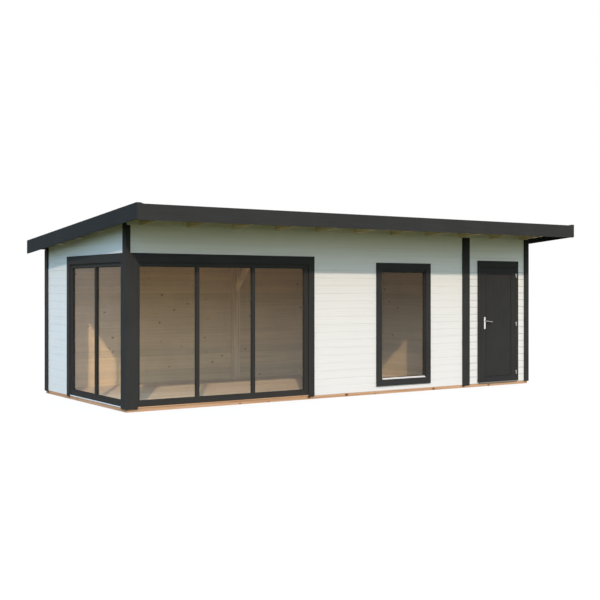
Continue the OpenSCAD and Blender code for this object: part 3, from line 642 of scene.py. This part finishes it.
def sealTree():
    # a rectangular loop swept with a small section, set at every pane's middle
    tree, given, result = newTree("paneSeal", {
        "Width": "NodeSocketFloat", "Height": "NodeSocketFloat", "Band": "NodeSocketFloat",
        "Depth": "NodeSocketFloat", "Turn": "NodeSocketVector", "Finish": "NodeSocketMaterial"})
    get = given.outputs
    loopWidth = addNode(tree, "ShaderNodeMath", {0: get["Width"], 1: get["Band"]}, operation="SUBTRACT")
    loopHeight = addNode(tree, "ShaderNodeMath", {0: get["Height"], 1: get["Band"]}, operation="SUBTRACT")
    mitre = addNode(tree, "ShaderNodeMath", {0: get["Band"], 1: math.sqrt(2.0)}, operation="MULTIPLY")
    loop = addNode(tree, "GeometryNodeCurvePrimitiveQuadrilateral",
                   {"Width": loopWidth.outputs[0], "Height": loopHeight.outputs[0]})
    section = addNode(tree, "GeometryNodeCurvePrimitiveQuadrilateral",
                      {"Width": mitre.outputs[0], "Height": get["Depth"]})
    strip = addNode(tree, "GeometryNodeCurveToMesh",
                    {"Curve": loop.outputs[0], "Profile Curve": section.outputs[0]})
    laid = setOnPoints(tree, given.outputs[0], strip.outputs[0], get["Turn"])
    dressPlain(tree, laid, get["Finish"], result)
    return tree


paneSeal = sealTree()


def laySeals():
    parts = []
    for node, normalAxis, turn in sealSpec["panes"]:
        boxes = solidBoxes(node)
        size = boxes[0][1] - boxes[0][0]
        points = []
        for low, high in boxes:
            for face in (low[normalAxis] - sealSpec["depth"] / 2, high[normalAxis] + sealSpec["depth"] / 2):
                point = (low + high) / 2
                point[normalAxis] = face
                points.append(point)
        parts.append(settle(node + "Seal", paneSeal, {
            "Width": size[1 - normalAxis], "Height": size[2], "Band": sealSpec["band"],
            "Depth": sealSpec["depth"], "Turn": [math.radians(angle) for angle in turn],
            "Finish": finishes["sealAndKeywayShade"]},
            pointMesh(node + "Points", points)))
    piece = joined("paneSeals", parts)
    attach(piece, "pod")
    return len(parts)


print("pane seals laid on", laySeals(), "runs of glass")

# the bead that holds the store door's panel, in the corner of its rebate on both faces, toned darker than the
# door's paint
panelSpec = {"stile": 0.108, "bottomRail": 0.085, "rebate": 0.004, "band": 0.012, "depth": 0.003}


def layPanelBead():
    low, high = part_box("door_leaf")
    panelLow = Vector((low.x + panelSpec["stile"], 0.0, low.z + panelSpec["bottomRail"]))
    panelHigh = Vector((high.x - panelSpec["stile"], 0.0, high.z - panelSpec["stile"]))
    middle = (panelLow + panelHigh) / 2
    seat = panelSpec["rebate"] - panelSpec["depth"] / 2
    points = [(middle.x, low.y + seat, middle.z), (middle.x, high.y - seat, middle.z)]
    piece = settle("panelBead", paneSeal, {
        "Width": panelHigh.x - panelLow.x, "Height": panelHigh.z - panelLow.z, "Band": panelSpec["band"],
        "Depth": panelSpec["depth"], "Turn": (math.radians(90.0), 0.0, 0.0), "Finish": finishes["bead"]},
        pointMesh("panelBeadPoints", points))
    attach(piece, "store_door")


layPanelBead()
print("panel bead laid")

# screw heads, painted over on the dark boards
screwSpec = {"radius": 0.0045, "height": 0.0009, "crown": 0.7, "sides": 14,
             "edge": 0.022, "end": 0.06, "pitch": 0.42,
             "facingTop": 2.04, "facingWidth": 0.125, "facingHeight": 2.2, "facingEdge": 0.06,
             "boards": ["corner_boards_long_sides", "corner_boards_ends", "partition_boards",
                        "casing_head_boards", "casing_side_boards"]}


def screwTree():
    # low coned heads at the points of the given mesh
    tree, given, result = newTree("screwHeads", {
        "Radius": "NodeSocketFloat", "Rise": "NodeSocketFloat", "Turn": "NodeSocketVector",
        "Finish": "NodeSocketMaterial"})
    get = given.outputs
    crown = addNode(tree, "ShaderNodeMath", {0: get["Radius"], 1: screwSpec["crown"]}, operation="MULTIPLY")
    head = addNode(tree, "GeometryNodeMeshCone",
                   {"Vertices": screwSpec["sides"], "Radius Top": crown.outputs[0],
                    "Radius Bottom": get["Radius"], "Depth": get["Rise"]})
    laid = setOnPoints(tree, given.outputs[0], head.outputs[0], get["Turn"])
    dressPlain(tree, laid, get["Finish"], result)
    return tree


screwHeads = screwTree()
screwTurns = {"front": (90.0, 0.0, 0.0), "back": (-90.0, 0.0, 0.0),
              "left": (0.0, -90.0, 0.0), "right": (0.0, 90.0, 0.0)}


def driveScrews(name, side, points, radius, rise, finish):
    return settle(name, screwHeads, {
        "Radius": radius, "Rise": rise, "Turn": [math.radians(angle) for angle in screwTurns[side]],
        "Finish": finish}, pointMesh(name + "Points", points))


def boardScrews():
    spots = {side: [] for side in screwTurns}
    for node in screwSpec["boards"]:
        for low, high in solidBoxes(node):
            size = high - low
            thin = 0 if size.x < size.y else 1
            cross = 1 - thin
            outer = low[thin] if (low + high)[thin] < 0 else high[thin]
            side = (("left", "right"), ("front", "back"))[thin][outer > 0]
            runAxis, rowAxis = (2, cross) if size.z > size[cross] else (cross, 2)
            run = size[runAxis] - 2 * screwSpec["end"]
            count = max(2, math.ceil(run / screwSpec["pitch"]) + 1)
            # the corner post's facing is wider below than the board above it
            hasFacing = (node.startswith("corner") and size[cross] > screwSpec["facingWidth"]
                         and size.z > screwSpec["facingHeight"])
            for k in range(count):
                for edge in (low[rowAxis] + screwSpec["edge"], high[rowAxis] - screwSpec["edge"]):
                    point = Vector((0.0, 0.0, 0.0))
                    point[thin] = outer
                    point[runAxis] = low[runAxis] + screwSpec["end"] + k * run / (count - 1)
                    point[rowAxis] = edge
                    aboveFacing = hasFacing and point.z > screwSpec["facingTop"]
                    if not (aboveFacing and edge > low[rowAxis] + screwSpec["facingEdge"]):
                        spots[side].append(point)
    parts = [driveScrews("boardScrews" + side, side, points, screwSpec["radius"], screwSpec["height"],
                         finishes["trimUpright"]) for side, points in spots.items()]
    piece = joined("boardScrews", parts)
    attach(piece, "pod")
    return sum(len(points) for points in spots.values())


print("board screws driven:", boardScrews())

# fixings of the backplates: a screw at each end, and the lock's keyway, a thin dark slab on each plate:
# painted shade standing for the hole
plateSpec = {"screwRadius": 0.0036, "rise": 0.0008, "end": 0.013, "lockOut": 0.003, "lockBelowTop": 0.158,
             "keyway": (0.0015, 0.0004, 0.0075), "keywayEase": 0.0001}


def fixPlates():
    outerBox, innerBox = sorted(solidBoxes("handle_plates"), key=lambda box: box[0].y)
    middle = (outerBox[0].x + outerBox[1].x) / 2
    heights = (outerBox[0].z + plateSpec["end"], outerBox[1].z - plateSpec["end"])
    faces = [("plateScrewsOuter", "front", outerBox[0].y + plateSpec["lockOut"]),
             ("plateScrewsInner", "back", innerBox[1].y - plateSpec["lockOut"])]
    parts = [driveScrews(name, side, [(middle, y, z) for z in heights], plateSpec["screwRadius"],
                         plateSpec["rise"], finishes["handle"]) for name, side, y in faces]
    # the keyway is painted shade: a dark slab in the seal's dark tone, not a hole
    width, rise, height = plateSpec["keyway"]
    parts.append(settle("keywayShadeSlabs", boardRow, {
        "Length": width, "Width": rise, "Thickness": height, "Chamfer": plateSpec["keywayEase"], "Count": 2,
        "Start": (middle - width / 2, outerBox[0].y - rise / 2, outerBox[1].z - plateSpec["lockBelowTop"]),
        "Step": (0.0, innerBox[1].y - outerBox[0].y + rise, 0.0), "Tilt": (0.0, 0.0, 0.0),
        "First number": 0.0, "Finish": finishes["sealAndKeywayShade"]}))
    piece = joined("plateFixings", parts)
    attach(piece, "store_door")


fixPlates()
print("backplates fixed")

# camera, light and floor
cameraLook = {"place": (-9.1457, -13.328, 1.615), "turn": -33.915, "lens": 60.566, "shiftY": -0.0191}
cameraData = bpy.data.cameras.new("camera")
cameraData.lens = cameraLook["lens"]
cameraData.sensor_width = 36.0
cameraData.shift_y = cameraLook["shiftY"]
cameraData.clip_end = 200.0
camera = bpy.data.objects.new("camera", cameraData)
camera.location = cameraLook["place"]
camera.rotation_euler = (math.radians(90.0), 0.0, math.radians(cameraLook["turn"]))
scene.collection.objects.link(camera)
scene.camera = camera

lightLook = {"towards": (-0.80, -1.32, 1.0), "strength": 2.18, "tone": (1.0, 0.80, 0.65), "softness": 1.5,
             "fill": (1.35, 1.44, 1.58), "fillLeft": (0.79, 1.16, 1.63), "leftReach": (0.3, -0.7),
             "horizon": (0.86, 0.83, 0.54), "horizonRise": 0.32, "fillStrength": 1.0}
sunData = bpy.data.lights.new("keyLight", "SUN")
sunData.energy = lightLook["strength"]
sunData.color = lightLook["tone"]
sunData.angle = math.radians(lightLook["softness"])
sun = bpy.data.objects.new("keyLight", sunData)
sun.rotation_euler = Vector(lightLook["towards"]).to_track_quat("Z", "Y").to_euler()
scene.collection.objects.link(sun)


def seenDirectly(tree):
    # 1 for rays from the camera, from reflections and through glass
    path = addNode(tree, "ShaderNodeLightPath").outputs
    mirrored = calc(tree, "MAXIMUM", path["Is Glossy Ray"], path["Is Transmission Ray"])
    return calc(tree, "MAXIMUM", path["Is Camera Ray"], mirrored)


world = bpy.data.worlds.new("studio")
scene.world = world
world.use_nodes = True
sky = world.node_tree
sky.nodes.clear()
# the soft fill is cooler towards the left end and warmer near the ground
skyPlace = addNode(sky, "ShaderNodeTexCoord")
skySplit = addNode(sky, "ShaderNodeSeparateXYZ", {0: skyPlace.outputs["Generated"]})
leftwards = ramp01(sky, skySplit.outputs[0], *lightLook["leftReach"])
fillTone = mixTone(sky, leftwards, rgba(lightLook["fill"]), rgba(lightLook["fillLeft"]))
lowTone = mixTone(sky, 1.0, fillTone, rgba(lightLook["horizon"]), "MULTIPLY")
fillTone = mixTone(sky, ramp01(sky, skySplit.outputs[2], 0.0, lightLook["horizonRise"]), lowTone, fillTone)
fill = addNode(sky, "ShaderNodeBackground", {0: fillTone, 1: lightLook["fillStrength"]})
white = addNode(sky, "ShaderNodeBackground", {0: (1.0, 1.0, 1.0, 1.0), 1: 1.0})
skyMix = addNode(sky, "ShaderNodeMixShader", {0: seenDirectly(sky)})
sky.links.new(fill.outputs[0], skyMix.inputs[1])
sky.links.new(white.outputs[0], skyMix.inputs[2])
skyOut = addNode(sky, "ShaderNodeOutputWorld")
sky.links.new(skyMix.outputs[0], skyOut.inputs[0])

floorLook = {"reach": 80.0, "drop": 0.001, "bounce": (0.066, 0.070, 0.026), "seen": (0.16, 0.16, 0.16),
             "glow": 0.83}
floorMesh = bpy.data.meshes.new("studioFloor")
floorCorners = [(floorLook["reach"] * x, floorLook["reach"] * y, 0.0)
                for x, y in ((-1, -1), (1, -1), (1, 1), (-1, 1))]
floorMesh.from_pydata(floorCorners, [], [(0, 1, 2, 3)])
studioFloor = bpy.data.objects.new("studioFloor", floorMesh)
studioFloor.location.z = -floorLook["drop"]
scene.collection.objects.link(studioFloor)
floorMat, floorTree, floorShader = newMaterial("studioFloor", 0.9, 0.0)
floorSeen = seenDirectly(floorTree)
floorTone = mixTone(floorTree, floorSeen, rgba(floorLook["bounce"]), rgba(floorLook["seen"]))
floorTree.links.new(floorTone, floorShader.inputs["Base Color"])
floorShader.inputs["Emission Color"].default_value = (1.0, 1.0, 1.0, 1.0)
floorGlow = calc(floorTree, "MULTIPLY", floorSeen, floorLook["glow"])
floorTree.links.new(floorGlow, floorShader.inputs["Emission Strength"])
floorMesh.materials.append(floorMat)
print("camera, light and floor set")
